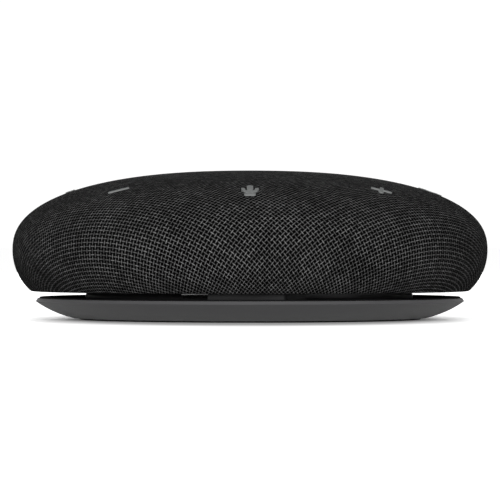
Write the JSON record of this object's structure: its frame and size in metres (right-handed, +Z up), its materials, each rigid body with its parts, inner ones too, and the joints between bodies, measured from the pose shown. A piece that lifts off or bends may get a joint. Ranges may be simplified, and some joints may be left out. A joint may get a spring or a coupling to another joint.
{
  "type": "conference speakerphone",
  "caption": "Round fabric-covered conference speakerphone dome on a flared rubber dish, with raised key marks and a USB-C cable wound in its groove.",
  "frame": {"origin": "on the table, under the axis of the dome", "axes": "+Z up along the dome axis; the front, with the mute key and the stowed plug, faces -Y; +X is to the right seen from the front"},
  "size_m": [0.125, 0.125, 0.0391],
  "materials": {
    "knit_fabric": "woven, matt",
    "shell_plastic": "moulded, fine grain",
    "dish_rubber": "soft touch",
    "liner_plastic": "matt",
    "foot_rubber": "matt",
    "weight_steel": "zinc plated",
    "plate_film": "satin film",
    "cable_jacket": "satin jacket",
    "plug_polymer": "fine grain",
    "plug_steel": "nickel plated",
    "insert_plastic": "moulded",
    "key_plastic": "satin",
    "circuit_board": "solder mask",
    "switch_metal": "stamped",
    "light_resin": "clear resin",
    "microphone_metal": "stamped can",
    "motor_steel": "zinc plated",
    "magnet_ferrite": "ground ferrite",
    "basket_steel": "black paint",
    "cone_paper": "pressed paper",
    "coil_copper": "enamelled copper",
    "surround_rubber": "matt",
    "spider_cloth": "resin-treated cloth",
    "gasket_foam": "open foam",
    "chip_resin": "moulded resin",
    "socket_plastic": "moulded nylon",
    "wire_jacket": "extruded",
    "screw_steel": "blackened"
  },
  "bodies": {
    "housing": {"board_chips": "chip_resin", "board_screws": "screw_steel", "board_sockets": "socket_plastic", "body_screws": "screw_steel", "box_screws": "screw_steel", "cable_coil": "cable_jacket", "cable_drum": "shell_plastic", "cable_grommet": "cable_jacket", "cable_tail": "cable_jacket", "dish": "dish_rubber", "dish_liner": "liner_plastic", "dish_screws": "screw_steel", "driver_basket": "basket_steel", "driver_magnet": "magnet_ferrite", "driver_spider": "spider_cloth", "driver_surround": "surround_rubber", "driver_top_plate": "motor_steel", "driver_yoke": "motor_steel", "fabric_cover": "knit_fabric", "foot_ring": "foot_rubber", "hem_ring": "shell_plastic", "inner_lead": "cable_jacket", "key_board": "circuit_board", "key_carrier": "shell_plastic", "key_switches": "switch_metal", "lower_shell": "shell_plastic", "main_board": "circuit_board", "microphone_boots": "foot_rubber", "microphones": "microphone_metal", "plug_boot": "plug_polymer", "plug_grip": "plug_polymer", "plug_insert": "insert_plastic", "plug_shell": "plug_steel", "rating_plate": "plate_film", "speaker_box": "shell_plastic", "speaker_gasket": "gasket_foam", "speaker_wires": "wire_jacket", "status_lights": "light_resin", "steel_weight": "weight_steel", "upper_shell": "shell_plastic"},
    "speaker_cone": {"driver_cone": "cone_paper", "dust_cap": "cone_paper", "voice_coil": "coil_copper"},
    "answer_key": {"key_answer": "key_plastic"},
    "volume_down_key": {"key_volume_down": "key_plastic"},
    "mute_key": {"key_mute": "key_plastic"},
    "volume_up_key": {"key_volume_up": "key_plastic"},
    "end_call_key": {"key_end_call": "key_plastic"}
  },
  "joints": [
    {"name": "speaker_cone_slide", "type": "slide", "parent": "housing", "child": "speaker_cone", "axis": [0, 0, 1], "range_m": [-0.001, 0.001], "stiffness_N_per_m": 1200, "deforming": ["driver_surround", "driver_spider"]},
    {"name": "key_answer_press", "type": "slide", "parent": "housing", "child": "answer_key", "axis": [0.331, 0, -0.9436], "range_m": [0, 0.00045], "stiffness_N_per_m": 600},
    {"name": "key_volume_down_press", "type": "slide", "parent": "housing", "child": "volume_down_key", "axis": [0.234, 0.234, -0.9436], "range_m": [0, 0.00045], "stiffness_N_per_m": 600},
    {"name": "key_mute_press", "type": "slide", "parent": "housing", "child": "mute_key", "axis": [0, 0.331, -0.9436], "range_m": [0, 0.00045], "stiffness_N_per_m": 600},
    {"name": "key_volume_up_press", "type": "slide", "parent": "housing", "child": "volume_up_key", "axis": [-0.234, 0.234, -0.9436], "range_m": [0, 0.00045], "stiffness_N_per_m": 600},
    {"name": "key_end_call_press", "type": "slide", "parent": "housing", "child": "end_call_key", "axis": [-0.331, 0, -0.9436], "range_m": [0, 0.00045], "stiffness_N_per_m": 600}
  ]
}
